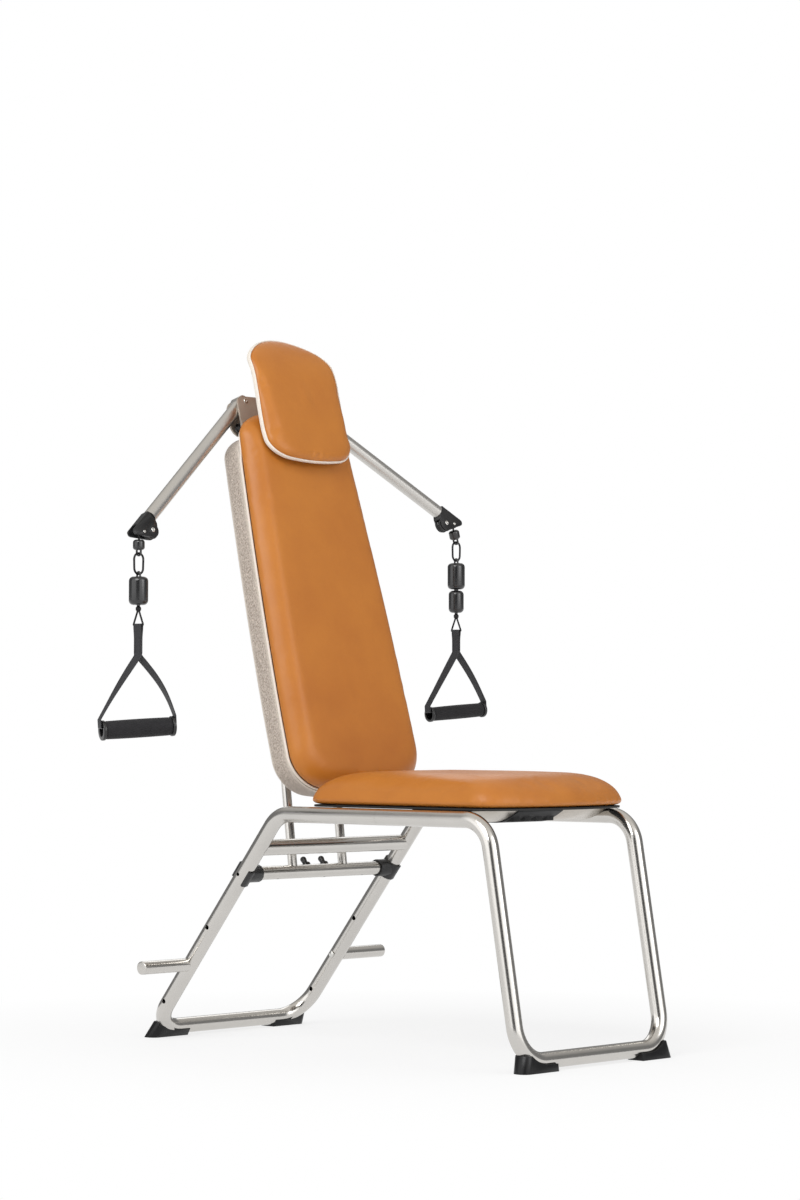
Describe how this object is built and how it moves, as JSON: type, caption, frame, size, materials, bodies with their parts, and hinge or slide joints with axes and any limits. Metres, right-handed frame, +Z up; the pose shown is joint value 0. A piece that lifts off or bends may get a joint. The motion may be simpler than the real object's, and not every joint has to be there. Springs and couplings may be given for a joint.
{
  "type": "fitness chair",
  "caption": "Chair with a steel tube frame, padded seat, back and headrest, and two swinging cable arms with hanging weights and strap handles.",
  "frame": {"origin": "on the floor, under the middle of the whole object's box", "axes": "+Z up, the chair faces -Y, +X is its occupant's left"},
  "size_m": [1.0487, 0.9812, 1.3622],
  "materials": {
    "stainless_steel": "satin",
    "steel_sheet": "satin",
    "blackened_steel": "satin",
    "black_plastic": "satin",
    "black_rubber": "satin",
    "black_board": "matt",
    "tan_leather": "smooth grained",
    "pale_piping": "woven",
    "grey_felt": "pressed",
    "black_cord": "braided",
    "black_webbing": "woven",
    "black_foam": "matt"
  },
  "bodies": {
    "chair": {"front_loop": "stainless_steel", "rear_loop": "stainless_steel", "upper_cross_tube": "stainless_steel", "lower_cross_tube": "stainless_steel", "saddle_right": "black_plastic", "saddle_left": "black_plastic", "peg_bolt_right": "stainless_steel", "peg_bolt_left": "stainless_steel", "peg_right": "stainless_steel", "peg_left": "stainless_steel", "foot_front_right": "black_rubber", "foot_front_left": "black_rubber", "foot_rear_right": "black_rubber", "foot_rear_left": "black_rubber", "post_right": "stainless_steel", "post_left": "stainless_steel", "post_bracket": "stainless_steel", "band_anchor_right": "black_plastic", "band_anchor_left": "black_plastic", "seat_board": "black_board", "seat_cushion": "tan_leather", "seat_plate_right": "steel_sheet", "seat_plate_left": "steel_sheet", "seat_webbing": "black_rubber", "back_pad": "tan_leather", "back_piping": "pale_piping", "back_shell": "grey_felt", "back_board": "black_board", "elastic_cords": "black_cord", "headrest_pad": "tan_leather", "headrest_piping": "pale_piping", "headrest_mount": "stainless_steel", "arm_bracket": "steel_sheet"},
    "arm_right": {"arm_tube_right": "stainless_steel", "arm_head_right": "black_plastic", "pull_cord_right": "black_cord"},
    "sheave_right": {"sheave_right": "black_plastic"},
    "roller_right": {"roller_right": "black_plastic"},
    "bracket_pulley_right": {"bracket_pulley_right": "black_plastic"},
    "ferrule_right": {"ferrule_right": "black_plastic"},
    "link_right": {"link_right": "blackened_steel"},
    "barrel_right": {"barrel_right": "black_plastic"},
    "ring_right": {"ring_right": "blackened_steel"},
    "handle_right": {"strap_right": "black_webbing", "grip_core_right": "black_plastic"},
    "grip_right": {"grip_right": "black_foam"},
    "arm_left": {"arm_tube_left": "stainless_steel", "arm_head_left": "black_plastic", "pull_cord_left": "black_cord"},
    "sheave_left": {"sheave_left": "black_plastic"},
    "roller_left": {"roller_left": "black_plastic"},
    "bracket_pulley_left": {"bracket_pulley_left": "black_plastic"},
    "ferrule_left": {"ferrule_left": "black_plastic"},
    "link_left": {"link_left": "blackened_steel"},
    "barrel_left": {"barrel_left": "black_plastic"},
    "ring_left": {"ring_left": "blackened_steel"},
    "handle_left": {"strap_left": "black_webbing", "grip_core_left": "black_plastic"},
    "grip_left": {"grip_left": "black_foam"}
  },
  "joints": [
    {"name": "arm_swing_right", "type": "hinge", "parent": "chair", "child": "arm_right", "pos_m": [-0.1195, 0.34485, 1.23102], "axis": [0, 0.9648, -0.2629], "range_deg": [-12, 45]},
    {"name": "pull_right", "type": "slide", "parent": "arm_right", "child": "ferrule_right", "axis": [0, 0, -1], "range_m": [0, 0.4], "stiffness_N_per_m": 40, "springref_m": -0.5, "deforming": ["pull_cord_right"]},
    {"name": "sheave_spin_right", "type": "hinge", "parent": "arm_right", "child": "sheave_right", "pos_m": [-0.42368, 0.27224, 0.96452], "axis": [0, -0.9648, 0.2629], "range_deg": [0, 1518]},
    {"name": "roller_spin_right", "type": "hinge", "parent": "arm_right", "child": "roller_right", "pos_m": [-0.44647, 0.27101, 0.96001], "axis": [0, -0.9648, 0.2629], "range_deg": [0, 4584]},
    {"name": "bracket_pulley_spin_right", "type": "hinge", "parent": "chair", "child": "bracket_pulley_right", "pos_m": [-0.1255, 0.3317, 1.18278], "axis": [0, -0.9648, 0.2629], "range_deg": [0, 2339]},
    {"name": "link_swing_right", "type": "hinge", "parent": "ferrule_right", "child": "link_right", "pos_m": [-0.45147, 0.27101, 0.91831], "axis": [0, 0.9648, -0.2629], "range_deg": [-45, 12]},
    {"name": "barrel_swing_right", "type": "hinge", "parent": "link_right", "child": "barrel_right", "pos_m": [-0.45147, 0.27101, 0.88362], "axis": [1, 0, 0], "range_deg": [-35, 35]},
    {"name": "ring_spin_right", "type": "hinge", "parent": "barrel_right", "child": "ring_right", "pos_m": [-0.45147, 0.27101, 0.82612], "axis": [0, 0, 1], "continuous": true},
    {"name": "handle_swing_right", "type": "hinge", "parent": "ring_right", "child": "handle_right", "pos_m": [-0.45147, 0.27101, 0.78821], "axis": [0.1392, -0.9903, 0], "range_deg": [-60, 40]},
    {"name": "grip_spin_right", "type": "hinge", "parent": "handle_right", "child": "grip_right", "pos_m": [-0.45147, 0.27101, 0.59762], "axis": [0.916, -0.3964, 0.061], "continuous": true},
    {"name": "arm_swing_left", "type": "hinge", "parent": "chair", "child": "arm_left", "pos_m": [0.0645, 0.34485, 1.23102], "axis": [0, -0.9648, 0.2629], "range_deg": [-22, 35]},
    {"name": "pull_left", "type": "slide", "parent": "arm_left", "child": "ferrule_left", "axis": [0.2924, 0, -0.9563], "range_m": [0, 0.4], "stiffness_N_per_m": 40, "springref_m": -0.5, "deforming": ["pull_cord_left"]},
    {"name": "sheave_spin_left", "type": "hinge", "parent": "arm_left", "child": "sheave_left", "pos_m": [0.41009, 0.28643, 1.01662], "axis": [0, 0.9648, -0.2629], "range_deg": [0, 1518]},
    {"name": "roller_spin_left", "type": "hinge", "parent": "arm_left", "child": "roller_left", "pos_m": [0.43334, 0.28621, 1.0158], "axis": [0, 0.9648, -0.2629], "range_deg": [0, 4584]},
    {"name": "bracket_pulley_spin_left", "type": "hinge", "parent": "chair", "child": "bracket_pulley_left", "pos_m": [0.0705, 0.3317, 1.18278], "axis": [0, 0.9648, -0.2629], "range_deg": [0, 2339]},
    {"name": "link_swing_left", "type": "hinge", "parent": "ferrule_left", "child": "link_left", "pos_m": [0.45032, 0.28621, 0.97738], "axis": [0, -0.9648, 0.2629], "range_deg": [-35, 22]},
    {"name": "barrel_swing_left", "type": "hinge", "parent": "link_left", "child": "barrel_left", "pos_m": [0.45032, 0.28621, 0.94268], "axis": [1, 0, 0], "range_deg": [-35, 35]},
    {"name": "ring_spin_left", "type": "hinge", "parent": "barrel_left", "child": "ring_left", "pos_m": [0.45032, 0.28621, 0.83518], "axis": [0, 0, 1], "continuous": true},
    {"name": "handle_swing_left", "type": "hinge", "parent": "ring_left", "child": "handle_left", "pos_m": [0.45032, 0.28621, 0.79728], "axis": [-0.1392, 0.9903, 0], "range_deg": [-60, 40]},
    {"name": "grip_spin_left", "type": "hinge", "parent": "handle_left", "child": "grip_left", "pos_m": [0.45032, 0.28621, 0.63078], "axis": [0.9823, -0.1714, 0.075], "continuous": true}
  ],
  "couplings": [
    {"joint": "sheave_spin_right", "follows": "pull_right", "rad_per_m": 66.225},
    {"joint": "roller_spin_right", "follows": "pull_right", "rad_per_m": 200},
    {"joint": "bracket_pulley_spin_right", "follows": "pull_right", "rad_per_m": 102.04},
    {"joint": "link_swing_right", "follows": "arm_swing_right", "ratio": -1},
    {"joint": "sheave_spin_left", "follows": "pull_left", "rad_per_m": 66.225},
    {"joint": "roller_spin_left", "follows": "pull_left", "rad_per_m": 200},
    {"joint": "bracket_pulley_spin_left", "follows": "pull_left", "rad_per_m": 102.04},
    {"joint": "link_swing_left", "follows": "arm_swing_left", "ratio": -1}
  ]
}
